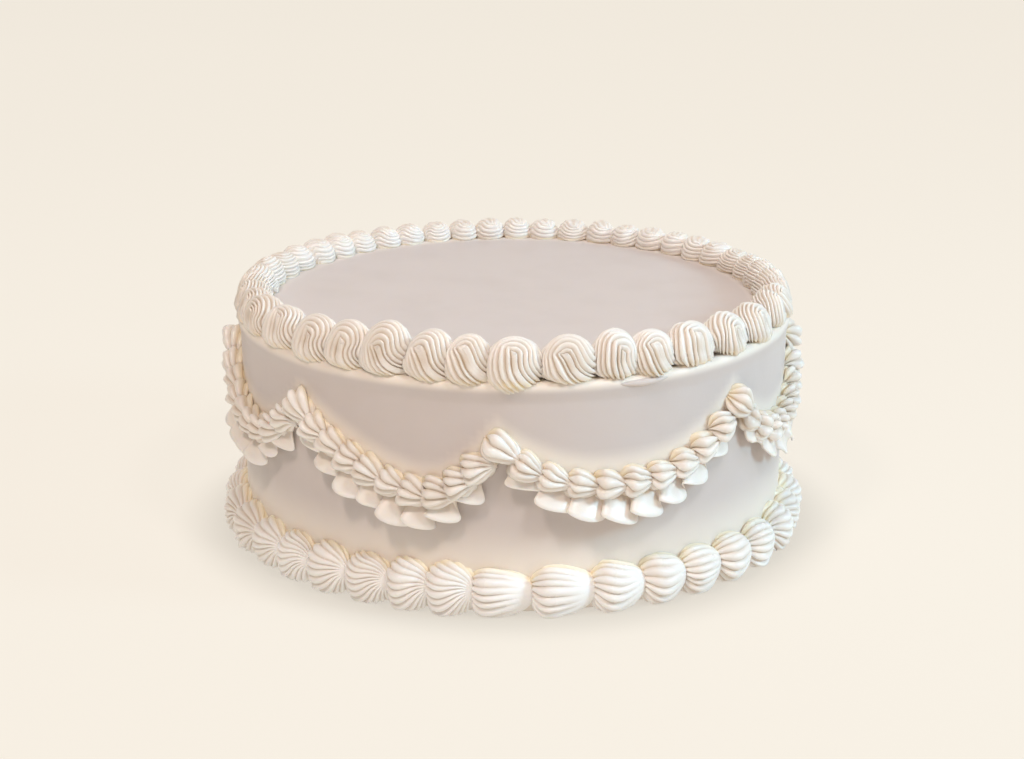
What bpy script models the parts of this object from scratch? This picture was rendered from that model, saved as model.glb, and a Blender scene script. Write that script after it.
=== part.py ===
"""Piped buttercream cake.

A round iced cake with a border of piped swirls on its rim, a border of piped shells at
its foot, and a garland of small shells hung in eight swags over a thin ruffle.
Lengths in the named values are millimetres. The cake stands on z = 0, its axis is z,
and azimuths are measured from the front (-Y) towards +X.
"""
import math
import random

import bmesh
import bpy
from mathutils import Vector

MM = 0.001
GAP = 0.3                       # clearance between pieces that touch

# Iced cake: its wall leans in a little towards the foot and has a soft lip at the rim
CAKE_HEIGHT = 95.5
FOOT_RADIUS = 114.6
WALL_RADIUS = 116.0             # at WALL_TOP
WALL_TOP = 86.0
LIP_RADIUS = 117.2
LIP_HEIGHT = 92.6
LIP_ROUND = 2.9
CAKE_STEPS = 64

# Swirls on the rim: the front ones stand where they were piped, the rest fill the ring
FRONT_SWIRLS = (-66.9, -55.7, -44.9, -36.0, -26.8, -17.2, -9.0, 0.0,
                10.8, 20.4, 28.8, 38.1, 49.5, 59.8, 71.8)
BACK_SWIRLS = 30
SWIRL_CENTRE = 110.4            # radius of the ring that the swirls stand on
SWIRL_LENGTH = (7.6, 9.1)       # half length across the rim, at the back and in front
SWIRL_RISE = (9.8, 18.2)        # height over the base plane, at the back and in front
SWIRL_LAP = 1.32                # width of a swirl over its share of the ring
SWIRL_TILT = math.radians(9)
SWIRL_DROP = 1.4                # base plane under the cake's top, at the ring
SWIRL_RIBS = 3
SWIRL_STEPS = 5
SWIRL_GROOVE = 0.085            # groove depth over the swirl's size

# Shells at the foot
FRONT_SHELLS = (-57.5, -48.0, -38.8, -29.3, -20.4, -12.1, -2.0,
                10.2, 21.4, 31.0, 40.4, 49.9, 60.2)
BACK_SHELLS = 25
SHELL_CENTRE = (115.0, 9.6)     # radius and height of a shell's long axis
SHELL_RADIUS = 11.2
SHELL_LAP = 1.16
SHELL_RIBS = 4
SHELL_GROOVE = 0.10
SHELL_PROFILE = ((-1.0, 0.50), (-0.5, 0.98), (0.3, 0.94), (1.0, 0.40))    # size along its length

# Garland: the swags hang from eight peaks
PEAKS = (-90.0, -47.3, -3.5, 49.9, 93.0, 137.0, 181.0, 226.0)
PEAK_HEIGHT = (77.0, 74.0, 69.5, 74.5, 76.5, 74.0, 73.0, 75.0)
LOW_HEIGHT = (56.5, 48.5, 52.0, 55.5)   # taken in turn by the swags
LOW_SHARE = (0.64, 0.67, 0.45, 0.40)    # where the lowest point lies along a swag
FALL_POWER = (1.7, 1.4, 2.2, 2.2)       # curve before and after the lowest point
RISE_POWER = (2.0, 2.1, 2.5, 2.2)
BEAD_PITCH = (11.0, 10.2, 11.8, 10.6)   # taken in turn by the swags
BEAD_LENGTH = 15.6
BEAD_RADIUS = (6.8, 6.9, 6.4, 6.6)
BEAD_CENTRE = 117.0             # radius of the garland's centre line
BEAD_BACK = 1.6                 # how far a small shell reaches behind it
BEAD_GROOVE = 0.17
BEAD_PROFILE = ((-1.0, 0.50), (-0.2, 1.00), (1.0, 0.35))    # size from head to tail
BEAD_FOLLOW = 0.8               # how far a small shell leans with the garland
BEAD_DROOP = math.radians(7)
LEAD_SIZE = (1.06, 1.2)         # radius and length of a swag's first small shell
LEAD_LIFT = 1.5

# Ruffle under each swag: a thin band that stands out from the wall
RUFFLE_ROOT = 7.7               # square distance from the garland's centre line
RUFFLE_DEPTH = 7.8              # from the root down to the edge
RUFFLE_REACH = 122.6            # radius of the edge
RUFFLE_WAVE = 1.5
RUFFLE_FLUTES = 9
RUFFLE_THICK = 1.1
RUFFLE_STEPS = 27
RUFFLE_ENDS = (0.05, 0.94)      # share of the swag that the ruffle covers

CREAM = (0.86, 0.80, 0.70, 1.0)
PIPING = (0.90, 0.86, 0.77, 1.0)


def clear_scene():
    for obj in list(bpy.data.objects):
        bpy.data.objects.remove(obj, do_unlink=True)


def new_collection(name):
    collection = bpy.data.collections.new(name)
    bpy.context.scene.collection.children.link(collection)
    return collection


def icing(name, colour, roughness):
    material = bpy.data.materials.new(name)
    material.use_nodes = True
    shader = material.node_tree.nodes["Principled BSDF"]
    shader.inputs["Base Color"].default_value = colour
    shader.inputs["Roughness"].default_value = roughness
    shader.inputs["Metallic"].default_value = 0.0
    material.diffuse_color = colour
    return material


def solid(name, points, faces, collection):
    """A closed body from points in millimetres, with its faces turned outwards."""
    bm = bmesh.new()
    verts = [bm.verts.new(Vector(p) * MM) for p in points]
    for face in faces:
        bm.faces.new([verts[i] for i in face])
    bmesh.ops.recalc_face_normals(bm, faces=bm.faces)
    mesh = bpy.data.meshes.new(name)
    bm.to_mesh(mesh)
    bm.free()
    obj = bpy.data.objects.new(name, mesh)
    collection.objects.link(obj)
    return obj


def ring_point(azimuth, radius, height):
    angle = math.radians(azimuth)
    return Vector((radius * math.sin(angle), -radius * math.cos(angle), height))


def frame_at(azimuth):
    """Unit vectors at an azimuth: along the ring (to the right) and outwards."""
    angle = math.radians(azimuth)
    along = Vector((math.cos(angle), math.sin(angle), 0.0))
    outward = Vector((math.sin(angle), -math.cos(angle), 0.0))
    return along, outward


def frontness(azimuth):
    """1 in front and 0 at the back."""
    return 0.5 + 0.5 * math.cos(math.radians(azimuth))


def mix(pair, share):
    return pair[0] + (pair[1] - pair[0]) * share


def fill_ring(front, count, rng):
    """The front azimuths, then count more round the back, closer together there."""
    gap = front[0] + 360.0 - front[-1]
    weights = []
    for i in range(count + 1):
        azimuth = front[-1] + gap * (i + 0.5) / (count + 1)
        weights.append((0.88 + 0.22 * frontness(azimuth)) * rng.uniform(0.94, 1.06))
    places = list(front)
    for weight in weights[:-1]:
        places.append(places[-1] + gap * weight / sum(weights))
    return places


def shares(places):
    """Width in degrees that each place has of the ring."""
    count = len(places)
    spans = []
    for i in range(count):
        before = places[i - 1] - (360.0 if i == 0 else 0.0)
        after = places[(i + 1) % count] + (360.0 if i == count - 1 else 0.0)
        spans.append((after - before) / 2.0)
    return spans


def cake_profile(grow):
    """Radius and height from the middle of the top, over the lip, to the foot."""
    lip = [(LIP_RADIUS - LIP_ROUND + (LIP_ROUND + grow) * math.sin(math.radians(a)),
            LIP_HEIGHT + (LIP_ROUND + grow) * math.cos(math.radians(a))) for a in (0, 45, 90)]
    return ([(0.0, CAKE_HEIGHT + grow)] + lip +
            [(WALL_RADIUS + grow, WALL_TOP), (FOOT_RADIUS + grow, -grow), (0.0, -grow)])


def turned(name, profile, collection):
    """A profile turned round the z axis."""
    mesh = bpy.data.meshes.new(name)
    points = [(r * MM, 0.0, z * MM) for r, z in profile]
    mesh.from_pydata(points, [(i, i + 1) for i in range(len(points) - 1)], [])
    obj = bpy.data.objects.new(name, mesh)
    collection.objects.link(obj)
    screw = obj.modifiers.new("turn", "SCREW")
    screw.axis = "Z"
    screw.angle = math.tau
    screw.steps = screw.render_steps = CAKE_STEPS
    screw.use_merge_vertices = True
    screw.merge_threshold = 0.00005
    return obj


def swirl(name, azimuth, width, rng, collection):
    """One piped swirl: ribs nested round a fold that opens to the right.

    Rows run from the fold out to the rim of the swirl, columns along the ribs, from the
    upper right over the top and down the left to the lower right.
    """
    ahead = frontness(azimuth)
    along, outward = frame_at(azimuth)
    down = outward * math.cos(SWIRL_TILT) - Vector((0, 0, math.sin(SWIRL_TILT)))
    normal = outward * math.sin(SWIRL_TILT) + Vector((0, 0, math.cos(SWIRL_TILT)))
    length = mix(SWIRL_LENGTH, ahead) * rng.uniform(0.97, 1.04)
    rise = mix(SWIRL_RISE, ahead) * rng.uniform(0.93, 1.05)
    centre = ring_point(azimuth, SWIRL_CENTRE + rng.uniform(-0.4, 0.4), CAKE_HEIGHT - SWIRL_DROP)
    fold_end = math.radians(-20)
    fold = (0.15, -0.10)
    rows, columns = 2 * SWIRL_RIBS, SWIRL_STEPS

    def plan(row, column):
        across = math.sin(0.5 * math.pi * row / rows)
        part = column / columns
        rim = math.radians(20 + 230 * part)
        inward = min(1.0, 1.5 * math.sin(math.pi * part))
        inner = (math.cos(fold_end) * (1 - inward) + fold[0] * inward,
                 math.sin(fold_end) * (1 - inward) + fold[1] * inward)
        if column in (0, columns):
            end = -20 if column == 0 else 340
            turn = math.radians(end + (math.degrees(rim) - end) * across)
            return math.cos(turn), math.sin(turn)
        return (inner[0] + (math.cos(rim) - inner[0]) * across,
                inner[1] + (math.sin(rim) - inner[1]) * across)

    points, index = [], {}
    for row in range(rows + 1):
        for column in range(columns + 1):
            if row == 0 and column > columns / 2:
                index[row, column] = index[0, columns - column]
                continue
            x, y = plan(row, column)
            reach = min(1.0, math.hypot(x, y))
            edge = row == rows or column in (0, columns)
            up = 0.0 if edge else (1.0 - reach ** 3.0) ** 0.5
            if not edge and row % 2 == 0:
                up *= 1.0 - SWIRL_GROOVE * (2.2 if row == 0 else 1.0)
            if edge and row % 2 == 0:
                x, y = x * (1 - 0.4 * SWIRL_GROOVE), y * (1 - 0.4 * SWIRL_GROOVE)
            index[row, column] = len(points)
            points.append(centre + along * (x * width / 2) - down * (y * length) + normal * (up * rise))
    faces = []
    for row in range(rows):
        for column in range(columns):
            quad = [index[row, column], index[row, column + 1],
                    index[row + 1, column + 1], index[row + 1, column]]
            corners = list(dict.fromkeys(quad))
            faces.append(corners[:3])
            if len(corners) == 4:
                faces.append([corners[0], corners[2], corners[3]])
    rim = [index[row, 0] for row in range(rows)] + [index[rows, c] for c in range(columns)]
    rim += [index[row, columns] for row in range(rows, 0, -1)]
    faces.append(rim)
    return solid(name, points, faces, collection)


def loft(name, rings, collection):
    """A body through rings of equally many points, closed with flat ends."""
    size = len(rings[0])
    faces = []
    for start in range(0, size * (len(rings) - 1), size):
        for i in range(size):
            a, b = start + i, start + (i + 1) % size
            faces.append([a, b, b + size, a + size])
    faces.append(list(range(size)))
    faces.append(list(range(size * (len(rings) - 1), size * len(rings))))
    return solid(name, [point for ring in rings for point in ring], faces, collection)


def foot_section(scale):
    """Half round against the wall and flat on the floor, with ribs on the outer side."""
    count = 2 * SHELL_RIBS
    floor = -SHELL_CENTRE[1]
    low = math.asin(SHELL_CENTRE[1] / SHELL_RADIUS)
    section = [(-0.5, floor)]
    for i in range(count + 1):
        angle = -low + (0.5 * math.pi + low) * i / count
        radius = scale * SHELL_RADIUS * (1.0 if i % 2 else 1.0 - SHELL_GROOVE)
        rise = floor if i == 0 else max(radius * math.sin(angle), floor)
        section.append((radius * math.cos(angle), rise))
    section[-1] = (-0.5, section[-1][1])
    return section


def foot_shell(name, azimuth, width, rng, collection):
    """One shell at the foot, its ribs running along the wall from end to end."""
    along, outward = frame_at(azimuth)
    size = (0.88 + 0.12 * frontness(azimuth)) * rng.uniform(0.95, 1.05)
    middle = ring_point(azimuth, *SHELL_CENTRE)
    rings = []
    for share, scale in SHELL_PROFILE:
        way = share * width / 2
        base = middle + along * way - outward * way ** 2 / (2 * SHELL_CENTRE[0])
        rings.append([base + outward * side + Vector((0, 0, rise))
                      for side, rise in foot_section(scale * size)])
    return loft(name, rings, collection)


def swag_height(swag, share):
    low = LOW_SHARE[swag % 4]
    base = LOW_HEIGHT[swag % 4]
    if share < low:
        return base + (PEAK_HEIGHT[swag] - base) * ((low - share) / low) ** FALL_POWER[swag % 4]
    peak = PEAK_HEIGHT[(swag + 1) % len(PEAKS)]
    return base + (peak - base) * ((share - low) / (1 - low)) ** RISE_POWER[swag % 4]


def swag_span(swag):
    start = PEAKS[swag]
    end = PEAKS[(swag + 1) % len(PEAKS)] + (360.0 if swag == len(PEAKS) - 1 else 0.0)
    return start, end


def swag_point(swag, share, radius):
    start, end = swag_span(swag)
    return ring_point(start + (end - start) * share, radius, swag_height(swag, share))


def bead_places(swag):
    """Shares along a swag at which its small shells stand, evenly by length."""
    fine = 400
    walk = [0.0]
    for i in range(fine):
        step = swag_point(swag, (i + 1) / fine, BEAD_CENTRE) - swag_point(swag, i / fine, BEAD_CENTRE)
        walk.append(walk[-1] + step.length)
    count = round((walk[-1] - 2.0) / BEAD_PITCH[swag % 4])
    places = []
    for k in range(count):
        target = (walk[-1] - 4.0) * (k + 0.35) / count
        places.append(next(i for i, w in enumerate(walk) if w >= target) / fine)
    return places


def bead_section(radius):
    """Three ribs on the outer side and one corner inside the wall."""
    section = [(-BEAD_BACK, 0.0)]
    for i in range(5):
        angle = math.radians(-84 + 42 * i)
        reach = radius * (1.0 - BEAD_GROOVE if i % 2 else 1.0)
        section.append((reach * math.cos(angle), reach * math.sin(angle)))
    return section


def bead(name, swag, share, grow, lead, rng, collection):
    """One small shell: a blunt head on the left and a narrow tail on the right."""
    start, end = swag_span(swag)
    along, outward = frame_at(start + (end - start) * share)
    line = swag_point(swag, min(share + 0.02, 1.0), BEAD_CENTRE) - \
        swag_point(swag, max(share - 0.02, 0.0), BEAD_CENTRE)
    lean = BEAD_FOLLOW * math.atan2(line.z, line.dot(along)) - BEAD_DROOP
    axis = along * math.cos(lean) + Vector((0, 0, math.sin(lean)))
    up = Vector((0, 0, math.cos(lean))) - along * math.sin(lean)
    radius = BEAD_RADIUS[swag % 4] * (LEAD_SIZE[0] if lead else rng.uniform(0.94, 1.03)) + grow
    length = BEAD_LENGTH * (LEAD_SIZE[1] if lead else 1.0) + 2 * grow
    centre = swag_point(swag, share, BEAD_CENTRE) + Vector((0, 0, LEAD_LIFT if lead else 0.0))
    rings = []
    for way, scale in BEAD_PROFILE:
        rings.append([centre + axis * (way * length / 2) + outward * (side * scale) + up * (rise * scale)
                      for side, rise in bead_section(radius)])
    return loft(name, rings, collection)


def ruffle(name, swag, collection):
    """A thin wavy band, root against the wall and edge standing out, both sides alike."""
    start, end = swag_span(swag)
    points = []
    for i in range(RUFFLE_STEPS + 1):
        share = mix(RUFFLE_ENDS, i / RUFFLE_STEPS)
        wave = math.sin(math.tau * (RUFFLE_FLUTES * i / RUFFLE_STEPS + 0.1))
        azimuth = start + (end - start) * share
        line = swag_point(swag, share + 0.01, BEAD_CENTRE) - swag_point(swag, share - 0.01, BEAD_CENTRE)
        slope = line.z / line.to_2d().length
        height = swag_height(swag, share) - RUFFLE_ROOT * math.hypot(1.0, slope)
        fade = min(1.0, 4.0 * min(i, RUFFLE_STEPS - i) / RUFFLE_STEPS + 0.35)
        root = ring_point(azimuth, WALL_RADIUS + GAP + 0.2, height)
        edge = ring_point(azimuth, WALL_RADIUS + (RUFFLE_REACH - WALL_RADIUS) * fade + wave * RUFFLE_WAVE,
                          height - RUFFLE_DEPTH * fade - 0.6 * wave)
        outward = frame_at(azimuth)[1]
        lift = (outward + Vector((0, 0, 1.0))).normalized() * RUFFLE_THICK
        points += [root, edge, edge + lift * 0.6, root + lift]
    faces = [[0, 1, 2], [0, 2, 3]]
    last = 4 * RUFFLE_STEPS
    for i in range(RUFFLE_STEPS):
        for k in range(4):
            a, b = 4 * i + k, 4 * i + (k + 1) % 4
            faces += [[a, a + 4, b + 4], [a, b + 4, b]] if k != 2 else [[a, a + 4, b], [a + 4, b + 4, b]]
    faces += [[last, last + 1, last + 2], [last, last + 2, last + 3]]
    return solid(name, points, faces, collection)


def apply_modifiers(obj):
    """Keep the modified mesh and drop the modifiers."""
    graph = bpy.context.evaluated_depsgraph_get()
    mesh = bpy.data.meshes.new_from_object(obj.evaluated_get(graph))
    obj.modifiers.clear()
    obj.data = mesh


def fuse(name, pieces_collection, collection):
    """Join the collection's pieces into one body and remove them."""
    pieces = list(pieces_collection.objects)
    first = pieces[0]
    pieces_collection.objects.unlink(first)
    collection.objects.link(first)
    first.name = name
    join = first.modifiers.new("fuse", "BOOLEAN")
    join.operation = "UNION"
    join.operand_type = "COLLECTION"
    join.collection = pieces_collection
    join.solver = "MANIFOLD"
    apply_modifiers(first)
    for obj in pieces[1:]:
        bpy.data.objects.remove(obj, do_unlink=True)
    bpy.data.collections.remove(pieces_collection)
    return first


def cut(obj, cutter):
    trim = obj.modifiers.new("trim", "BOOLEAN")
    trim.operation = "DIFFERENCE"
    trim.object = cutter
    trim.solver = "MANIFOLD"
    apply_modifiers(obj)


def tidy(obj):
    """Merge near points and flat facets, drop loose scraps and split faces into triangles."""
    bm = bmesh.new()
    bm.from_mesh(obj.data)
    bmesh.ops.remove_doubles(bm, verts=bm.verts, dist=0.001 * MM)
    bmesh.ops.dissolve_degenerate(bm, edges=bm.edges, dist=0.001 * MM)
    bmesh.ops.dissolve_limit(bm, verts=bm.verts, edges=bm.edges, angle_limit=math.radians(3))
    bmesh.ops.dissolve_verts(bm, verts=[v for v in bm.verts if len(v.link_edges) == 2])
    left, islands = set(bm.faces), []
    while left:
        stack, island = [left.pop()], []
        while stack:
            face = stack.pop()
            island.append(face)
            for edge in face.edges:
                for other in edge.link_faces:
                    if other in left:
                        left.remove(other)
                        stack.append(other)
        islands.append(island)
    islands.sort(key=len)
    for island in islands[:-1]:
        bmesh.ops.delete(bm, geom=island, context="FACES")
    bmesh.ops.triangulate(bm, faces=bm.faces)
    bm.to_mesh(obj.data)
    bm.free()


def main():
    clear_scene()
    rng = random.Random(12)
    parts = new_collection("piped_buttercream_cake")
    cutters = new_collection("cutters")
    cake = turned("cake", cake_profile(0.0), parts)
    cake.data.materials.append(icing("smooth_buttercream", CREAM, 0.55))

    drum = turned("cake_clearance", cake_profile(GAP), cutters)
    drum.hide_render = True
    drum.display_type = "WIRE"

    borders = []
    places = fill_ring(FRONT_SWIRLS, BACK_SWIRLS, rng)
    pieces = new_collection("swirls")
    for i, (azimuth, span) in enumerate(zip(places, shares(places))):
        width = math.radians(span) * SWIRL_CENTRE * SWIRL_LAP
        swirl("swirl_%02d" % i, azimuth, width, rng, pieces)
    borders.append(fuse("top_border", pieces, parts))

    places = fill_ring(FRONT_SHELLS, BACK_SHELLS, rng)
    pieces = new_collection("shells")
    for i, (azimuth, span) in enumerate(zip(places, shares(places))):
        width = math.radians(span) * SHELL_CENTRE[0] * SHELL_LAP
        foot_shell("shell_%02d" % i, azimuth, width, rng, pieces)
    borders.append(fuse("base_border", pieces, parts))

    for swag in range(len(PEAKS)):
        pieces = new_collection("beads_%d" % swag)
        for i, share in enumerate(bead_places(swag)):
            bead("bead_%d_%02d" % (swag, i), swag, share, 0.0, i == 0, rng, pieces)
        borders.append(fuse("swag_%d" % (swag + 1), pieces, parts))

    for obj in borders:
        cut(obj, drum)
    for swag in range(len(PEAKS)):
        after = (swag + 1) % len(PEAKS)
        lead = bead("lead_clearance", after, bead_places(after)[0], GAP, True, rng, cutters)
        cut(borders[2 + swag], lead)
        bpy.data.objects.remove(lead, do_unlink=True)
    bpy.data.objects.remove(drum, do_unlink=True)
    bpy.data.collections.remove(cutters)

    for obj in borders:
        tidy(obj)
        obj.data.materials.clear()
        obj.data.materials.append(icing(obj.name + "_buttercream", PIPING, 0.5))
    for swag in range(len(PEAKS)):
        band = ruffle("ruffle_%d" % (swag + 1), swag, parts)
        band.data.materials.append(icing(band.name + "_buttercream", PIPING, 0.5))


main()
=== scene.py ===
"""Piped buttercream cake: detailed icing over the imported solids, with a studio floor, lights and camera."""
import math
import random

import bpy
import numpy as np
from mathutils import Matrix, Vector


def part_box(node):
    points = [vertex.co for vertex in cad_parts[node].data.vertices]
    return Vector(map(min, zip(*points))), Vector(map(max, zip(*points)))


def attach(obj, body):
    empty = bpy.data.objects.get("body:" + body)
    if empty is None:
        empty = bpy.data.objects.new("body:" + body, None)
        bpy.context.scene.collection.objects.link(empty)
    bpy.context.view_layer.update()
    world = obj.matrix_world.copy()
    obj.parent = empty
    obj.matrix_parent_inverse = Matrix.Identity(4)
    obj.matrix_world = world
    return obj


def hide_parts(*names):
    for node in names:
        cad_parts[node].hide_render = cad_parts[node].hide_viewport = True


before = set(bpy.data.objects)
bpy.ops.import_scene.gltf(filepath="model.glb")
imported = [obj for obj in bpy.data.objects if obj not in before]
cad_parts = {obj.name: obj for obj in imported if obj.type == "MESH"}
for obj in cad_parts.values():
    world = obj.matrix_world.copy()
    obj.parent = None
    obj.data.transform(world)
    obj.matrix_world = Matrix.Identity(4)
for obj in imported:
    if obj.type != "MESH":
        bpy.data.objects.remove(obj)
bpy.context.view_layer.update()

MM = 0.001

# The iced cake, in millimetres
CAKE_LOW, CAKE_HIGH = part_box("cake")
TOP = (CAKE_HIGH[2] - CAKE_LOW[2]) / MM    # height of the flat top
LIP = CAKE_HIGH[0] / MM                    # radius of the lip at the rim
LIP_ROUND = 2.9                            # rounding of the lip's edge
FOOT = 114.6                               # radius of the wall at the floor
WALL = 116.0                               # radius of the wall at its top
WALL_TOP = 86.0                            # height where the wall turns out to the lip

# Swirls on the rim: azimuths in degrees from the front, and pairs for the back and the front of the ring
FRONT_SWIRLS = (-66.9, -55.7, -44.9, -36.0, -26.8, -17.2, -9.0, 0.0,
                10.8, 20.4, 28.8, 38.1, 49.5, 59.8, 71.8)
BACK_SWIRLS = 30
SWIRL_CENTRE = 110.4                       # radius of the ring
SWIRL_LENGTH = (7.6, 9.1)                  # half length across the rim
SWIRL_RISE = (9.8, 18.2)                   # height over the flat top
SWIRL_TALLER = (0.9, 4.0)                  # added height of all front swirls, and of the tallest
TALLEST = -28.0                            # azimuth of the tallest swirls
TALL_SPREAD = 12.0
SWIRL_LAP = (1.12, 1.26)                   # width over the spacing
SWIRL_FACE = (104, 42)                     # degrees above the horizon that the pinch faces
SWIRL_DROP = 1.4                           # how much lower the body is than its ribs' rise
SWIRL_RIBS = (11, 17)
SWIRL_GROOVE = 1.9
SWIRL_PAINTED_SHADE = 0.26                          # painted shade over the whole swirl, a step toward the groove shade colour
SWIRL_STEPS = 41                           # points along a rib

# Shells round the foot
FRONT_SHELLS = (-57.5, -48.0, -38.8, -29.3, -20.4, -12.1, -2.0,
                10.2, 21.4, 31.0, 40.4, 49.9, 60.2)
BACK_SHELLS = 25
SHELL_CENTRE = 115.0                       # radius of the ring
SHELL_LAP = 1.16                           # width over the spacing
SHELL_HEIGHT = 8.9                         # height of a shell's middle
SHELL_STEPS = 25                           # points along a rib
RIB_STEPS = 6                              # points across a rib

# Garland: azimuths and heights of its peaks, then values that repeat over four swags
PEAKS = (-90.0, -47.3, -3.5, 49.9, 93.0, 137.0, 181.0, 226.0)
PEAK_HEIGHT = (77.0, 74.0, 69.5, 74.5, 76.5, 74.0, 73.0, 75.0)
LOW_HEIGHT = (56.5, 48.5, 52.0, 55.5)
LOW_SHARE = (0.64, 0.67, 0.45, 0.40)
FALL_POWER = (1.7, 1.4, 2.2, 2.2)
RISE_POWER = (2.0, 2.1, 2.5, 2.2)
BEAD_PITCH = (11.0, 10.2, 11.8, 10.6)      # spacing of the small shells
BEAD_LENGTH = 15.6
BEAD_RADIUS = (6.8, 6.9, 6.4, 6.6)
BEAD_CENTRE = 117.0                        # radius of the garland's centre line
BEAD_USUAL = 6.6                           # radius at which the grooves have the depth below
BEAD_GROOVE = 2.0
BEAD_PAINTED_SHADE = 0.24                           # painted shade over the whole small shell, a step toward the groove shade colour

# Ruffle under the garland
RUFFLE_ROOT = 3.0                          # square distance from the garland's centre line
RUFFLE_DEPTH = 10.6                        # from the root down to the edge
RUFFLE_REACH = 122.0                       # radius of the edge
RUFFLE_SWELL = (2.6, 2.6, 2.6, 1.0)        # how far the folds go in and out
RUFFLE_TONGUES = (8, 8, 8, 6)              # folds along a swag
RUFFLE_ENDS = (0.05, 0.94)                 # share of the swag that the ruffle covers
RUFFLE_FOLD = (0.36, 0.36, 0.36, 0.12)     # how far the edge folds back on itself
RUFFLE_THICK = (0.9, 0.9, 0.9, 2.6)
RUFFLE_ROWS = 8
RUFFLE_STEPS = 45                          # points along a fold

# Smear of icing on the wall
SMEAR_AZIMUTH = 25.9
SMEAR_SPREAD = 5.4                         # half length in degrees
SMEAR_HEIGHT = 92.4
SMEAR_HALF = 1.5                           # half width


# Icing surfaces: grids of points, gathered into one mesh for each piece

class Batch:
    """Grids of points with a painted shade amount and a painted warm light amount at each, joined into one
    mesh.
    """

    def __init__(self):
        self.points, self.faces, self.depths, self.butters, self.size = [], [], [], [], 0

    def grid(self, points, depth, butter, closed=False):
        """points is rows x columns x 3 in millimetres; closed joins the last row to the first."""
        rows, columns = points.shape[:2]
        number = np.arange(rows * columns).reshape(rows, columns) + self.size
        below = np.roll(number, -1, axis=0) if closed else number[1:]
        above = number if closed else number[:-1]
        quads = np.stack([above[:, :-1], above[:, 1:], below[:, 1:], below[:, :-1]], axis=-1)
        self.faces.append(quads.reshape(-1, 4))
        self.points.append(points.reshape(-1, 3))
        self.depths.append(np.clip(np.broadcast_to(depth, (rows, columns)).reshape(-1), 0, 1))
        self.butters.append(np.clip(np.broadcast_to(butter, (rows, columns)).reshape(-1), 0, 1))
        self.size += rows * columns

    def piece(self, name, material, nodes, slot):
        points = np.concatenate(self.points) * MM
        faces = np.concatenate(self.faces)
        mesh = bpy.data.meshes.new(name)
        mesh.vertices.add(len(points))
        mesh.vertices.foreach_set("co", points.astype(np.float32).ravel())
        mesh.loops.add(faces.size)
        mesh.loops.foreach_set("vertex_index", faces.astype(np.int32).ravel())
        mesh.polygons.add(len(faces))
        mesh.polygons.foreach_set("loop_start", np.arange(0, faces.size, 4, dtype=np.int32))
        mesh.update(calc_edges=True)
        mesh.validate()
        for label, values in (("depth", self.depths), ("butter", self.butters)):
            layer = mesh.attributes.new(label, "FLOAT", "POINT")
            layer.data.foreach_set("value", np.concatenate(values).astype(np.float32))
        mesh.shade_smooth()
        mesh.materials.append(material)
        obj = bpy.data.objects.new(name, mesh)
        bpy.context.scene.collection.objects.link(obj)
        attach(obj, "root")
        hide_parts(*nodes)
        return obj


def ring_point(azimuth, radius, height):
    """A place round the cake; azimuth 0 is the front and grows to the right."""
    angle = np.radians(azimuth)
    return np.stack(np.broadcast_arrays(radius * np.sin(angle), -radius * np.cos(angle), height), axis=-1)


def frame_at(azimuth):
    """Directions along the ring and outwards."""
    angle = math.radians(azimuth)
    return (np.array([math.cos(angle), math.sin(angle), 0.0]),
            np.array([math.sin(angle), -math.cos(angle), 0.0]))


UP = np.array([0.0, 0.0, 1.0])


def frontness(azimuth):
    """1 at the front of the cake and 0 at the back."""
    return 0.5 + 0.5 * math.cos(math.radians(azimuth))


def mix(pair, share):
    return pair[0] + (pair[1] - pair[0]) * share


def smooth(low, high, value):
    part = np.clip((value - low) / (high - low), 0.0, 1.0)
    return part * part * (3 - 2 * part)


def fill_ring(front, count, rng):
    """The front azimuths, then count more round the back, unevenly spaced and closer together there."""
    gap = front[0] + 360.0 - front[-1]
    weights = []
    for i in range(count + 1):
        azimuth = front[-1] + gap * (i + 0.5) / (count + 1)
        weights.append((0.88 + 0.22 * frontness(azimuth)) * rng.uniform(0.94, 1.06))
    places = list(front)
    for weight in weights[:-1]:
        places.append(places[-1] + gap * weight / sum(weights))
    return places


def shares(places):
    """Degrees of the ring that belong to each place."""
    count = len(places)
    spans = []
    for i in range(count):
        before = places[i - 1] - (360.0 if i == 0 else 0.0)
        after = places[(i + 1) % count] + (360.0 if i == count - 1 else 0.0)
        spans.append((after - before) / 2.0)
    return spans


def rib_rows(ribs, fine, rng):
    """Positions across uneven ribs, closer together at the grooves, and the height of each."""
    widths = np.array([rng.uniform(0.75, 1.3) for _ in range(ribs)])
    edges = np.concatenate([[0.0], np.cumsum(widths)]) / widths.sum()
    local = 0.5 - 0.5 * np.cos(np.pi * np.arange(fine) / fine)
    steps, height = [], []
    for rib in range(ribs):
        steps.append(edges[rib] + (edges[rib + 1] - edges[rib]) * local)
        height.append(rng.uniform(0.72, 1.1) * (1.0 - np.abs(2 * local - 1) ** 1.8))
    return np.concatenate(steps + [[1.0]]), np.concatenate(height + [[0.0]])


def waves(rng, count, *axes):
    """A smooth uneven field over the given coordinates, about -1 to 1."""
    total = 0.0
    for _ in range(count):
        phase = rng.uniform(0, math.tau)
        for axis in axes:
            phase = phase + axis * rng.uniform(-1, 1)
        total = total + np.sin(phase)
    return total / count ** 0.5 / 1.4


# Piped forms: a body around a centre, with ribs laid over it in polar bands round a pole

def body_point(way, radii, power, blunt=0.0):
    """Distance from the centre to the surface along each direction; radii are for +x -x +y -y +z -z."""
    total = 0.0
    power = power + blunt * smooth(0.1, -0.8, way[..., 0])
    for axis in range(3):
        part = way[..., axis]
        size = np.where(part > 0, radii[2 * axis], radii[2 * axis + 1])
        total = total + np.abs(part / size) ** power
    return total ** (-1.0 / power)


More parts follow.
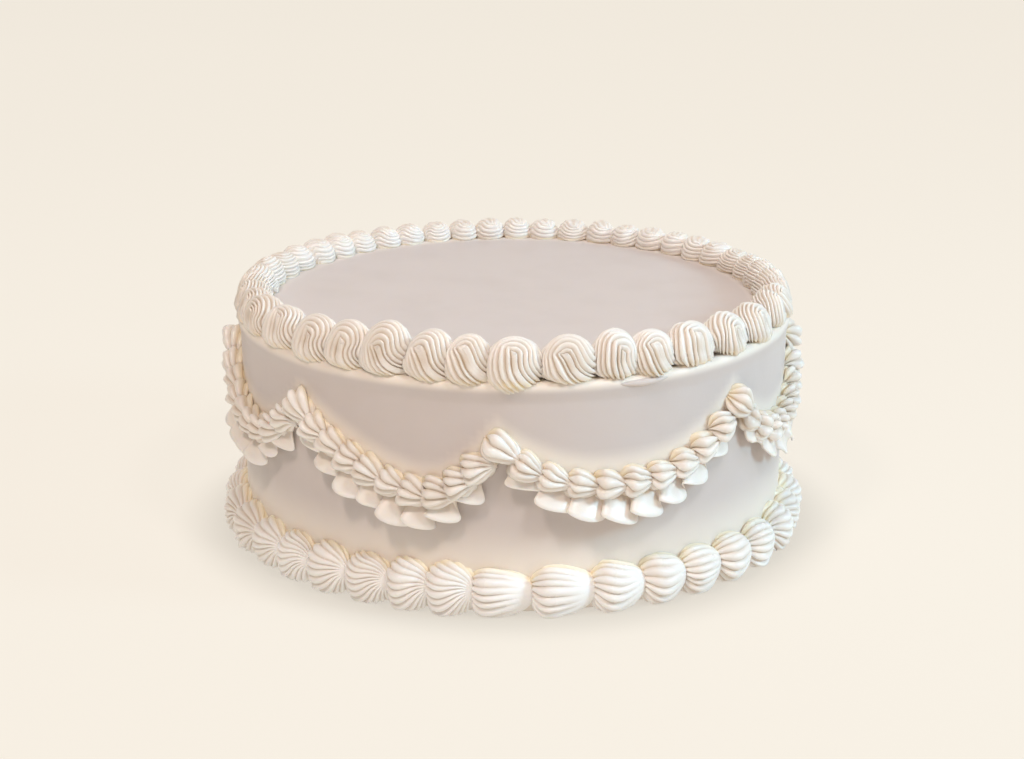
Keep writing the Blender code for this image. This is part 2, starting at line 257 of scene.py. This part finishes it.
def turned_axes(azimuth, swing, lean):
    """Axes along the ring, outwards and up, with the left end swung outwards and lifted."""
    along, outward = frame_at(azimuth)
    x = along * math.cos(swing) - outward * math.sin(swing)
    y = outward * math.cos(swing) + along * math.sin(swing)
    return x * math.cos(lean) - UP * math.sin(lean), y, UP * math.cos(lean) + x * math.sin(lean)


def spline(points, part):
    """Smooth curves through points (count x curves x 2), read at parts from 0 to 1."""
    last = len(points) - 1
    place = part * last
    low = np.minimum(place.astype(int), last - 1)
    f = (place - low)[None, :, None]
    p0, p1, p2, p3 = (np.moveaxis(points[np.clip(low + k, 0, last)], 0, 1) for k in (-1, 0, 1, 2))
    return 0.5 * (2 * p1 + (p2 - p0) * f + (2 * p0 - 5 * p1 + 4 * p2 - p3) * f ** 2 +
                  (3 * p1 - p0 - 3 * p2 + p3) * f ** 3)


# Swirls on the rim

PINCH = (-0.08, -0.04)                     # place of the pinch on the unit disc


def swirl_plan(u, part, rng):
    """Where ribs run on the unit disc before it is twisted: round a pinch and out in a fan."""
    pinch = np.array([PINCH[0] + rng.uniform(-0.06, 0.07), PINCH[1] + rng.uniform(-0.04, 0.04)])
    start = np.radians(-4 + 64 * u)
    end = np.radians(-4 - 168 * (1 - (1 - u) ** 1.5))
    grow = (u ** 0.95)[:, None]

    def rim(angle):
        return np.stack([np.cos(angle), np.sin(angle)], axis=-1)

    def ray(degrees):
        return pinch + (rim(np.radians(degrees) * np.ones_like(u)) - pinch) * grow

    bow = np.clip(u / 0.2, 0, 1) * np.clip((1 - u) / 0.4, 0, 1)
    sway = np.stack([bow, 0.3 * bow], axis=-1)
    lift = np.stack([np.zeros_like(bow), bow], axis=-1) * rng.uniform(0.02, 0.08)
    first, low = ray(64), ray(206)
    points = [rim(start),
              rim(start) * 0.67 + first * 0.33 + lift,
              rim(start) * 0.33 + first * 0.67 + lift,
              first, ray(100), ray(134), ray(172), low,
              low * 0.67 + rim(end) * 0.33 - sway * rng.uniform(0.04, 0.14),
              low * 0.33 + rim(end) * 0.67 + sway * rng.uniform(0.06, 0.16),
              rim(end)]
    return spline(np.stack(points), part)


def swirl(batch, azimuth, width, rng):
    """A rounded body with ribs that run round a pinch and turn as they go outwards."""
    ahead = frontness(azimuth)
    big = 1.07 if azimuth == 0.0 else 1.0
    length = mix(SWIRL_LENGTH, ahead) * rng.uniform(0.96, 1.06) * big
    tall = SWIRL_TALLER[0] + SWIRL_TALLER[1] * math.exp(-((azimuth - TALLEST) / TALL_SPREAD) ** 2)
    rise = mix(SWIRL_RISE, ahead) * rng.uniform(0.95, 1.02) + tall * ahead
    aside = float(smooth(25.0, 42.0, azimuth) * smooth(85.0, 62.0, azimuth))
    x_axis, y_axis, z_axis = turned_axes(azimuth, math.radians(9 + rng.uniform(-4, 4)),
                                         math.radians(8 + rng.uniform(-3, 3) + 9 * aside))
    height = mix((0.6, 2.6), ahead)
    centre = ring_point(azimuth, SWIRL_CENTRE + rng.uniform(-0.4, 0.4), TOP + height)
    ribs = round(mix(SWIRL_RIBS, smooth(0.1, 0.5, ahead))) + rng.choice((-1, 0, 0, 1))
    across, rib = rib_rows(ribs, RIB_STEPS, rng)
    part = np.linspace(0.0, 1.0, SWIRL_STEPS)
    u, s = np.meshgrid(across, part, indexing="ij")
    h = rib[:, None] * np.ones_like(s)
    plan = swirl_plan(across, part, rng)
    spin = math.radians(rng.uniform(-98, -62))
    spin = spin + math.radians(rng.uniform(90, 125)) * np.hypot(plan[..., 0], plan[..., 1])
    x = plan[..., 0] * np.cos(spin) - plan[..., 1] * np.sin(spin)
    y = plan[..., 0] * np.sin(spin) + plan[..., 1] * np.cos(spin)
    reach = np.clip(np.hypot(x, y), 1e-6, 1.0)
    theta = reach * math.radians(166)
    side, lift = x / reach * np.sin(theta), y / reach * np.sin(theta)
    pole = math.radians(mix(SWIRL_FACE, smooth(0.1, 0.6, ahead)) + rng.uniform(-5, 5))
    way = np.stack([side, np.cos(theta) * math.cos(pole) - lift * math.sin(pole),
                    np.cos(theta) * math.sin(pole) + lift * math.cos(pole)], axis=-1)
    drop = mix((3.4, 5.1), ahead) * rng.uniform(0.85, 1.12) * big ** 6
    top = rise - SWIRL_DROP - height
    distance = body_point(way, (width * (0.5 + 0.06 * aside), width / 2, length, length, top, drop), 2.1)
    scale = 0.25 + 0.75 * float(smooth(0.1, 0.7, ahead))
    eye = np.exp(-((x - PINCH[0]) ** 2 + (y - PINCH[1]) ** 2) / 0.012)
    slit = np.exp(-(u / 0.03) ** 2)
    wobble = waves(rng, 5, way[..., 0] * 3.5, way[..., 1] * 3.5, way[..., 2] * 3.5)
    fade = (1 - 0.6 * smooth(0.62, 1.0, reach)) * smooth(0.0, 0.04, u)
    distance = distance - SWIRL_GROOVE * scale * (1 - h) * fade
    distance = distance - scale * eye - 0.5 * slit + 0.42 * wobble
    tips = smooth(0.66, 0.92, s) * smooth(0.02, 0.2, u) * smooth(1.0, 0.8, u)
    distance = distance + 0.7 * scale * tips * h
    local = way * distance[..., None]
    points = centre + local[..., :1] * x_axis + local[..., 1:2] * y_axis + local[..., 2:] * z_axis
    low = smooth(4.0, -1.0, points[..., 2] - TOP)
    # Painted shade over the whole swirl, in the grooves, at the pinch and at the foot on the top; painted
    # warm light in the lower grooves.
    depth = SWIRL_PAINTED_SHADE + np.clip(1 - h, 0, 1) ** 2 * 0.6 * scale * fade + eye * 0.35 + 0.1 * low
    batch.grid(points, depth, smooth(0.4, 1.0, low) * 0.8 * np.clip(1.1 - h, 0, 1))


# Shells: ribs fan out from a knot near the right end

def shell(centre, axes, radii, power, blunt, ribs, groove, knot, fade, taper, twist, floor, rng):
    """Points and painted groove shade of a shell; fade is the angles from the knot where ribs start and are
    full.
    """
    across, rib = rib_rows(ribs, RIB_STEPS, rng)
    across, rib = across[:-1], rib[:-1]
    theta = math.pi * np.linspace(0.0, 1.0, SHELL_STEPS) ** 1.1
    u, t = np.meshgrid(across, theta, indexing="ij")
    h = rib[:, None] * np.ones_like(t)
    turn = 2 * np.pi * u + twist * np.sin(t) + 0.05 * np.sin(3 * t + rng.uniform(0, 6)) + rng.uniform(0, 0.6)
    side, lift = np.sin(t) * np.sin(turn), np.sin(t) * np.cos(turn)
    kx, ky = math.cos(knot), math.sin(knot)
    way = np.stack([np.cos(t) * kx - side * ky, np.cos(t) * ky + side * kx, lift], axis=-1)
    distance = body_point(way, radii, power, blunt)
    wobble = waves(rng, 5, way[..., 0] * 2.6, way[..., 1] * 2.6, way[..., 2] * 3.2)
    depth = groove * smooth(fade[0], fade[1], t) * (1 - 0.5 * smooth(2.6, 3.1, t))
    distance = distance - depth * (1 - h) + 0.022 * radii[2] * wobble
    local = way * distance[..., None]
    thin = 1 - taper * local[..., 0] / radii[0]
    local[..., 1:] *= thin[..., None]
    points = centre + local[..., :1] * axes[0] + local[..., 1:2] * axes[1] + local[..., 2:] * axes[2]
    if floor:
        flare = smooth(4.0, 0.0, points[..., 2]) * (h - 0.3) * 1.1
        points = points + axes[1] * flare[..., None]
        points[..., 2] = np.maximum(points[..., 2], 0.0)
    # The second value is painted shade in the grooves.
    return points, np.clip(1 - h, 0, 1) ** 2 * 0.6 * smooth(fade[0], fade[1], t)


def foot_shell(batch, azimuth, width, rng):
    """A shell at the foot; those to the right have fewer and coarser ribs."""
    size = (0.88 + 0.12 * frontness(azimuth)) * rng.uniform(0.95, 1.04)
    coarse = float(smooth(-12.0, 0.0, azimuth)) * float(smooth(120.0, 80.0, azimuth))
    knot = math.radians(mix((37.0, 13.0), coarse) + rng.uniform(-5, 5))
    ribs = round(mix((21, 18), coarse)) + rng.choice((-1, 0, 1))
    fade = (mix((0.16, 0.5), coarse), mix((0.6, 1.65), coarse))
    axes = turned_axes(azimuth, math.radians(7 + rng.uniform(-3, 3)), math.radians(mix((-7, 1), coarse)))
    high = mix((12.0, 10.8), coarse) * size
    centre = ring_point(azimuth, FOOT, SHELL_HEIGHT) - axes[0] * width * 0.11 * coarse
    radii = (width * mix((0.50, 0.63), coarse), width * mix((0.53, 0.42), coarse),
             11.0 * size, 9.0, high, 11.4)
    points, depth = shell(centre, axes, radii, mix((2.2, 2.1), coarse), mix((0.2, 0.35), coarse), ribs,
                          mix((1.2, 1.35), coarse), knot, fade, mix((0.10, 0.20), coarse),
                          mix((0.7, 0.3), coarse), True, rng)
    # Painted warm light on the shell's upper part against the wall; shells right of the front and round the
    # back get a little painted shade over the whole shell.
    wall = smooth(4.0, 0.5, np.hypot(points[..., 0], points[..., 1]) - FOOT - 1.0)
    depth = depth + 0.13 * float(smooth(12.0, 35.0, azimuth))
    batch.grid(points, depth, wall * smooth(6, 14, points[..., 2]) * 0.6, closed=True)


# Garland of small shells

def swag_height(swag, share):
    """Height of the garland's centre line at a share of the way along a swag."""
    low, base = LOW_SHARE[swag % 4], LOW_HEIGHT[swag % 4]
    fall = np.clip((low - share) / low, 0, None) ** FALL_POWER[swag % 4]
    rise = np.clip((share - low) / (1 - low), 0, None) ** RISE_POWER[swag % 4]
    return (base + (PEAK_HEIGHT[swag] - base) * fall +
            (PEAK_HEIGHT[(swag + 1) % len(PEAKS)] - base) * rise)


def swag_span(swag):
    return PEAKS[swag], PEAKS[(swag + 1) % len(PEAKS)] + (360.0 if swag == len(PEAKS) - 1 else 0.0)


def swag_point(swag, share, radius):
    start, end = swag_span(swag)
    return ring_point(start + (end - start) * share, radius, swag_height(swag, share))


def bead_places(swag):
    """Shares of the swag at which its small shells sit, evenly spaced along the line."""
    share = np.linspace(0, 1, 401)
    step = np.linalg.norm(np.diff(swag_point(swag, share, BEAD_CENTRE), axis=0), axis=1)
    walk = np.concatenate([[0.0], np.cumsum(step)])
    count = round((walk[-1] - 2.0) / BEAD_PITCH[swag % 4])
    return [float(np.interp((walk[-1] - 4.0) * (k + 0.35) / count, walk, share)) for k in range(count)]


def bead(batch, swag, share, lead, rng):
    """A small shell of the garland; the lead one, at the peak, is larger."""
    start, end = swag_span(swag)
    azimuth = start + (end - start) * share
    along = frame_at(azimuth)[0]
    line = (swag_point(swag, min(share + 0.02, 1.0), BEAD_CENTRE) -
            swag_point(swag, max(share - 0.02, 0.0), BEAD_CENTRE))
    slope = math.atan2(line[2], float(line @ along))
    lean = (0.8 if slope < 0 else 0.3) * slope - math.radians(7 + rng.uniform(-5, 5))
    axes = turned_axes(azimuth, math.radians(9 + rng.uniform(-4, 4)), -lean)
    radius = BEAD_RADIUS[swag % 4] * (1.06 if lead else rng.uniform(0.94, 1.06))
    length = BEAD_LENGTH * (1.16 if lead else rng.uniform(0.94, 1.04))
    centre = swag_point(swag, share, BEAD_CENTRE) + UP * (1.5 if lead else 0.0) - axes[0] * length * 0.09
    radii = (length * 0.60, length * 0.40, radius, radius * 0.7, radius * 1.0, radius * 1.0)
    ribs = rng.choice((8, 9, 9, 10))
    points, depth = shell(centre, axes, radii, 2.0, 0.8, ribs, BEAD_GROOVE * radius / BEAD_USUAL,
                          math.radians(24 + rng.uniform(-8, 8)), (0.1, 0.5), 0.30, rng.uniform(0.1, 0.5),
                          False, rng)
    # Painted shade next to the wall and over the whole small shell; painted warm light on its upper side
    # against the wall.
    wall = smooth(4.0, 1.0, np.hypot(points[..., 0], points[..., 1]) - WALL)
    above = smooth(0, 3, points[..., 2] - centre[2])
    batch.grid(points, depth + BEAD_PAINTED_SHADE + 0.2 * wall, wall * above * 0.45, closed=True)


# Ruffle under the garland

def ruffle(batch, swag, rng):
    """A thin band with an outer and an inner face, whose edge folds back and forth."""
    start, end = swag_span(swag)
    tongues = RUFFLE_TONGUES[swag % 4]
    t = np.linspace(0.0, tongues, RUFFLE_STEPS * tongues)
    t = t + 0.26 * np.sin(t * 1.7 + rng.uniform(0, 6)) * np.minimum(1, np.minimum(t, tongues - t))
    ends = (0.5 + 0.5 * smooth(0, 2.6, t)) * (0.55 + 0.45 * smooth(0, 3.4, tongues - t))
    size = np.clip(1 + 0.26 * waves(rng, 5, t * 4.0), 0.6, 1.28)
    crimp = 0.05 * waves(rng, 4, t * 14.0)
    turn = 2 * np.pi * t
    v = np.linspace(0, 1, RUFFLE_ROWS)[:, None]
    sides = []
    for face in (0, 1):
        fold = RUFFLE_FOLD[swag % 4] * v ** 1.1 * size
        share = mix(RUFFLE_ENDS, (t - fold * np.sin(turn) + crimp * v) / tongues)
        azimuth = start + (end - start) * share
        line = swag_point(swag, share + 0.01, BEAD_CENTRE) - swag_point(swag, share - 0.01, BEAD_CENTRE)
        slope = line[..., 2] / np.hypot(line[..., 0], line[..., 1])
        step = mix(RUFFLE_ENDS, (t + 0.17 * v * np.sin(turn)) / tongues)
        root = swag_height(swag, step) - RUFFLE_ROOT * np.hypot(1.0, slope)
        lobe = 0.5 - 0.5 * np.cos(turn - 0.95)
        swell = RUFFLE_SWELL[swag % 4] * v ** 0.9 * (-np.cos(turn + 0.75) * size + 2.0 * crimp)
        thick = RUFFLE_THICK[swag % 4] * (1 - 0.6 * v) * (0.75 if face == 0 else 0.0)
        radius = WALL - 0.5 + (RUFFLE_REACH - WALL) * ends * v ** 0.75 + swell * ends + thick
        height = root - RUFFLE_DEPTH * ends * v * (0.66 + 0.42 * lobe * size + crimp) + thick
        sides.append(ring_point(azimuth, np.maximum(radius, WALL + 0.2), height))
    band = np.concatenate([sides[0], sides[1][::-1]], axis=0)
    # Painted shade, strongest at the root under the small shells and where the folds turn back.
    painted_shade = 0.1 + 0.7 * (1 - v) ** 1.4 + 0.25 * (0.5 + 0.5 * np.cos(turn)) ** 3
    batch.grid(band, np.concatenate([painted_shade, painted_shade[::-1]], axis=0), 0.0, closed=True)


# Smooth icing of the cake

def smooth_icing(rng):
    """The smooth coat, slightly uneven, with painted warm light next to the borders and above the garland,
    and painted shade under the garland.
    """
    batch = Batch()
    turn = np.linspace(0, 360, 241)
    profile = [(r, TOP) for r in np.linspace(0.0, LIP - 4.0, 26)]
    for a in np.linspace(8, 90, 9):
        profile.append((LIP - LIP_ROUND + LIP_ROUND * math.sin(math.radians(a)),
                        TOP - LIP_ROUND + LIP_ROUND * math.cos(math.radians(a))))
    for k in np.linspace(0.12, 1.0, 10):
        profile.append((LIP + (WALL - LIP) * smooth(0, 1, k),
                        TOP - LIP_ROUND + (WALL_TOP - TOP + LIP_ROUND) * k))
    for k in np.linspace(0.03, 1.0, 36):
        profile.append((WALL + (FOOT - WALL) * k, WALL_TOP * (1 - k)))
    profile += [(0.6 * FOOT, 0.0), (0.0, 0.0)]
    profile = np.array(profile)
    radius, height = profile[:, :1] * np.ones(len(turn)), profile[:, 1:] * np.ones(len(turn))
    angle = np.radians(turn)[None, :]
    field = 0.0
    for k in range(1, 9):
        field = field + np.sin(k * angle + rng.uniform(0, 6) + height * rng.uniform(-0.09, 0.09)) / k ** 0.7
    wall = smooth(0.0, 4.0, TOP - height) * smooth(0.0, 3.0, height)
    radius = radius + 0.14 * field * wall
    level = smooth(4.0, 0.0, TOP - height)
    height = height + 0.10 * level * np.sin(radius * 0.09 + 3 * angle) * smooth(0, 30, radius)
    around = (turn - PEAKS[0]) % 360 + PEAKS[0]
    line = np.zeros_like(turn)
    for swag in range(len(PEAKS)):
        start, end = swag_span(swag)
        inside = (around >= start) & (around <= end)
        line[inside] = swag_height(swag, (around[inside] - start) / (end - start))
    # Painted warm light above the garland, under the lip, near the foot and on the top inside the rim;
    # painted shade under the garland.
    over = height - line[None, :]
    outer = smooth(LIP - 8, LIP - 4, radius)
    glow = smooth(1.0, 5.0, over) * smooth(15.0, 6.0, over)
    glow = np.maximum(glow, smooth(TOP - 5.0, TOP - 1.5, height))
    glow = np.maximum(glow, smooth(40.0, 15.0, height))
    under_shade = smooth(0.0, -5.0, over) * smooth(-26.0, -14.0, over)
    glow_inside_rim = smooth(LIP - 17.5, LIP - 14.0, radius) * (1 - outer) * 0.7
    batch.grid(ring_point(turn[None, :], radius, height), under_shade * 0.35 * outer,
               np.maximum(glow * outer * 0.8, glow_inside_rim * 0.45))
    smear(batch)
    return batch


def smear(batch):
    """A long flat dab of icing that was dragged along the wall under the rim."""
    across, along = np.meshgrid(np.linspace(0, 1, 13), np.linspace(-1, 1, 49), indexing="ij")
    half = SMEAR_HALF * np.clip(1 - along ** 2, 0, None) ** 0.7
    height = SMEAR_HEIGHT + 0.5 * along ** 2 + (across * 2 - 1) * half
    radius = (WALL + 0.9 + 1.4 * np.sin(np.pi * across) ** 0.6 * (1 - along ** 2) +
              0.1 * smooth(90, 94, height))
    # A faint painted warm light over the whole smear.
    batch.grid(ring_point(SMEAR_AZIMUTH + SMEAR_SPREAD * along, radius, height), 0.0, 0.1)


# Materials

def node(tree, kind, **values):
    made = tree.nodes.new(kind)
    for key, value in values.items():
        setattr(made, key, value)
    return made


def buttercream(name, light, painted_shade, warm_light_colour, rough, fine, bump, weight):
    """Cream with painted shade in grooves and crevices, painted warm light where pieces meet, mottling and a
    fine whipped surface.

    weight is how much light goes under the surface, fine and bump are the grain's scale and strength.
    """
    material = bpy.data.materials.new(name)
    material.use_nodes = True
    tree = material.node_tree
    link = tree.links.new
    shader = tree.nodes["Principled BSDF"]
    place = node(tree, "ShaderNodeTexCoord")
    depth = node(tree, "ShaderNodeAttribute", attribute_name="depth")
    mottle = node(tree, "ShaderNodeTexNoise")
    mottle.inputs["Scale"].default_value = 38
    mottle.inputs["Detail"].default_value = 4
    link(place.outputs["Object"], mottle.inputs["Vector"])
    tone = node(tree, "ShaderNodeMapRange")
    tone.inputs["From Min"].default_value = 0.3
    tone.inputs["From Max"].default_value = 0.7
    tone.inputs["To Min"].default_value = -0.10
    tone.inputs["To Max"].default_value = 0.12
    link(mottle.outputs["Fac"], tone.inputs["Value"])
    total = node(tree, "ShaderNodeMath", operation="ADD", use_clamp=True)
    link(depth.outputs["Fac"], total.inputs[0])
    link(tone.outputs["Result"], total.inputs[1])
    # Painted shade: the colour turns toward the shade colour by the painted shade attribute and the mottling.
    painted_shade_mix = node(tree, "ShaderNodeMix", data_type="RGBA")
    painted_shade_mix.inputs[6].default_value = light
    painted_shade_mix.inputs[7].default_value = painted_shade
    link(total.outputs["Value"], painted_shade_mix.inputs["Factor"])
    # Painted warm light where pieces meet.
    butter = node(tree, "ShaderNodeAttribute", attribute_name="butter")
    colour = node(tree, "ShaderNodeMix", data_type="RGBA")
    colour.inputs[7].default_value = warm_light_colour
    link(painted_shade_mix.outputs[2], colour.inputs[6])
    link(butter.outputs["Fac"], colour.inputs["Factor"])
    link(colour.outputs[2], shader.inputs["Base Color"])
    whipped = node(tree, "ShaderNodeTexNoise")
    whipped.inputs["Scale"].default_value = fine
    whipped.inputs["Detail"].default_value = 6
    whipped.inputs["Roughness"].default_value = 0.62
    link(place.outputs["Object"], whipped.inputs["Vector"])
    relief = node(tree, "ShaderNodeBump")
    relief.inputs["Strength"].default_value = bump
    relief.inputs["Distance"].default_value = 0.0006
    link(whipped.outputs["Fac"], relief.inputs["Height"])
    link(relief.outputs["Normal"], shader.inputs["Normal"])
    sheen = node(tree, "ShaderNodeMapRange")
    sheen.inputs["To Min"].default_value = rough - 0.08
    sheen.inputs["To Max"].default_value = rough + 0.10
    link(mottle.outputs["Fac"], sheen.inputs["Value"])
    link(sheen.outputs["Result"], shader.inputs["Roughness"])
    shader.inputs["Subsurface Weight"].default_value = weight
    shader.inputs["Subsurface Radius"].default_value = (1.0, 0.75, 0.5)
    shader.inputs["Subsurface Scale"].default_value = 0.0009
    shader.inputs["IOR"].default_value = 1.45
    shader.inputs["Specular IOR Level"].default_value = 0.55
    return material


def build():
    rng = random.Random(12)
    # The smooth cream is the same cream as the piped one, made darker and pinker in its colour as painted
    # shade.
    shaded_smooth_cream = buttercream("smooth_buttercream", light=(0.62, 0.56, 0.538, 1), painted_shade=(0.48, 0.42, 0.38, 1),
                               warm_light_colour=(0.93, 0.86, 0.77, 1), rough=0.46,
                               fine=260, bump=0.10, weight=0.25)
    piped_cream = buttercream("piped_buttercream", light=(0.96, 0.945, 0.925, 1), painted_shade=(0.63, 0.51, 0.385, 1),
                              warm_light_colour=(0.97, 0.85, 0.58, 1), rough=0.27, fine=900, bump=0.16, weight=0.15)
    thin_cream = buttercream("ruffle_buttercream", light=(0.93, 0.90, 0.87, 1), painted_shade=(0.63, 0.51, 0.39, 1),
                             warm_light_colour=(0.97, 0.85, 0.58, 1), rough=0.32, fine=700, bump=0.12, weight=0.3)

    smooth_icing(rng).piece("cake_icing", shaded_smooth_cream, ["cake"], "smooth_icing")

    places = fill_ring(FRONT_SWIRLS, BACK_SWIRLS, rng)
    halves = [Batch(), Batch()]
    for azimuth, span in zip(places, shares(places)):
        width = math.radians(span) * SWIRL_CENTRE * mix(SWIRL_LAP, frontness(azimuth))
        swirl(halves[0 if frontness(azimuth) > 0.5 else 1], azimuth, width, rng)
    halves[0].piece("rim_swirls_front", piped_cream, ["top_border"], "border_icing")
    halves[1].piece("rim_swirls_back", piped_cream, ["top_border"], "border_icing")

    places = fill_ring(FRONT_SHELLS, BACK_SHELLS, rng)
    halves = [Batch(), Batch()]
    for azimuth, span in zip(places, shares(places)):
        width = math.radians(span) * SHELL_CENTRE * SHELL_LAP
        foot_shell(halves[0 if frontness(azimuth) > 0.5 else 1], azimuth, width, rng)
    halves[0].piece("foot_shells_front", piped_cream, ["base_border"], "border_icing")
    halves[1].piece("foot_shells_back", piped_cream, ["base_border"], "border_icing")

    for swag in range(len(PEAKS)):
        beads, band = Batch(), Batch()
        for i, share in enumerate(bead_places(swag)):
            bead(beads, swag, share, i == 0, rng)
        beads.piece("garland_shells_%d" % (swag + 1), piped_cream, ["swag_%d" % (swag + 1)], "garland_icing")
        ruffle(band, swag, rng)
        band.piece("ruffle_band_%d" % (swag + 1), thin_cream, ["ruffle_%d" % (swag + 1)], "ruffle_icing")


# Studio: sizes in metres

FLOOR_SIDE = 12.0                          # to the left, the right and the front
WALL_AWAY, WALL_BEND, WALL_HIGH = 1.6, 0.5, 1.6
SHADE_REACH = (0.112, 0.150)               # distances over which the floor brightens from the cake outwards: a painted shadow round the cake
# emission strength of the floor in the painted shadow and away from it
SHADE_GLOW = (0.58, 0.785)


def studio():
    """A pale floor that bends up into a back wall, soft air and five lamps."""
    scene = bpy.context.scene
    mesh = bpy.data.meshes.new("studio_floor")
    outline = [(-FLOOR_SIDE, 0.0), (WALL_AWAY - WALL_BEND, 0.0)]
    for k in range(1, 17):
        a = math.radians(90 * k / 16)
        outline.append((WALL_AWAY - WALL_BEND + WALL_BEND * math.sin(a), WALL_BEND - WALL_BEND * math.cos(a)))
    outline.append((WALL_AWAY, WALL_HIGH))
    points = [(x, y, z) for y, z in outline for x in (-FLOOR_SIDE, FLOOR_SIDE)]
    faces = [(2 * i, 2 * i + 1, 2 * i + 3, 2 * i + 2) for i in range(len(outline) - 1)]
    mesh.from_pydata(points, [], faces)
    mesh.shade_smooth()
    floor = bpy.data.objects.new("studio_floor", mesh)
    scene.collection.objects.link(floor)
    paper = bpy.data.materials.new("studio_paper")
    paper.use_nodes = True
    tree = paper.node_tree
    shader = tree.nodes["Principled BSDF"]
    shader.inputs["Roughness"].default_value = 0.9
    shader.inputs["Specular IOR Level"].default_value = 0.1
    grain = node(tree, "ShaderNodeTexNoise")
    grain.inputs["Scale"].default_value = 14
    tint = node(tree, "ShaderNodeMix", data_type="RGBA")
    tint.inputs[6].default_value = (0.125, 0.118, 0.105, 1)
    tint.inputs[7].default_value = (0.14, 0.132, 0.118, 1)
    tree.links.new(grain.outputs["Fac"], tint.inputs["Factor"])
    tree.links.new(tint.outputs[2], shader.inputs["Base Color"])
    # The floor glows evenly, dimmed close to the cake as a painted shadow.
    shader.inputs["Emission Color"].default_value = (1.0, 0.934, 0.83, 1)
    place = node(tree, "ShaderNodeTexCoord")
    distance = node(tree, "ShaderNodeVectorMath", operation="LENGTH")
    tree.links.new(place.outputs["Object"], distance.inputs[0])
    shade = node(tree, "ShaderNodeMapRange", interpolation_type="SMOOTHSTEP")
    shade.inputs["From Min"].default_value, shade.inputs["From Max"].default_value = SHADE_REACH
    shade.inputs["To Min"].default_value, shade.inputs["To Max"].default_value = SHADE_GLOW
    tree.links.new(distance.outputs["Value"], shade.inputs["Value"])
    tree.links.new(shade.outputs["Result"], shader.inputs["Emission Strength"])
    mesh.materials.append(paper)

    world = bpy.data.worlds.new("studio_air")
    scene.world = world
    world.use_nodes = True
    air = world.node_tree.nodes["Background"]
    air.inputs["Color"].default_value = (1.0, 0.78, 0.68, 1)
    air.inputs["Strength"].default_value = 0.16

    def lamp(name, place, aim, size, power, colour):
        light = bpy.data.lights.new(name, "AREA")
        light.shape = "RECTANGLE"
        light.size, light.size_y = size
        light.energy = power
        light.color = colour
        obj = bpy.data.objects.new(name, light)
        obj.location = place
        way = Vector(aim) - Vector(place)
        obj.rotation_euler = way.to_track_quat("-Z", "Y").to_euler()
        scene.collection.objects.link(obj)

    lamp("window", (1.20, -0.30, 0.60), (0, 0, 0.05), (0.32, 0.32), 9.8, (0.50, 0.80, 1.0))
    lamp("ceiling", (0.0, 0.20, 1.20), (0, 0, 0.05), (0.4, 0.4), 3.4, (1.0, 0.96, 0.93))
    lamp("room", (-0.50, -0.80, 1.30), (0, 0, 0.05), (0.22, 0.22), 8.4, (1.0, 0.86, 0.77))
    lamp("key", (0.55, -0.75, 1.30), (0, 0, 0.06), (0.22, 0.22), 5.8, (1.0, 0.98, 0.97))
    lamp("fill", (-0.20, -1.30, 0.10), (0, 0, 0.01), (1.2, 0.12), 2.2, (1.0, 0.92, 0.87))

    scene.view_settings.view_transform = "Standard"
    scene.view_settings.look = "None"


# Camera in front of the cake and a little above it

FRAME_WIDTH = 1024                         # in pixels
VIEW_FOCAL = 2700.0                        # in pixels
VIEW_MIDDLE = 513.5                        # pixel column of the cake's axis
VIEW_DISTANCE = 1.1081                     # in metres
VIEW_HEIGHT = 0.4116
VIEW_PITCH = math.radians(17.60)


def camera():
    lens = bpy.data.cameras.new("camera")
    lens.sensor_width = 36.0
    lens.lens = VIEW_FOCAL / FRAME_WIDTH * lens.sensor_width
    lens.shift_x = (FRAME_WIDTH / 2 - VIEW_MIDDLE) / FRAME_WIDTH
    lens.clip_start, lens.clip_end = 0.05, 20.0
    obj = bpy.data.objects.new("camera", lens)
    obj.location = (0.0, -VIEW_DISTANCE, VIEW_HEIGHT)
    obj.rotation_euler = (0.5 * math.pi - VIEW_PITCH, 0.0, 0.0)
    bpy.context.scene.collection.objects.link(obj)
    bpy.context.scene.camera = obj


build()
studio()
camera()
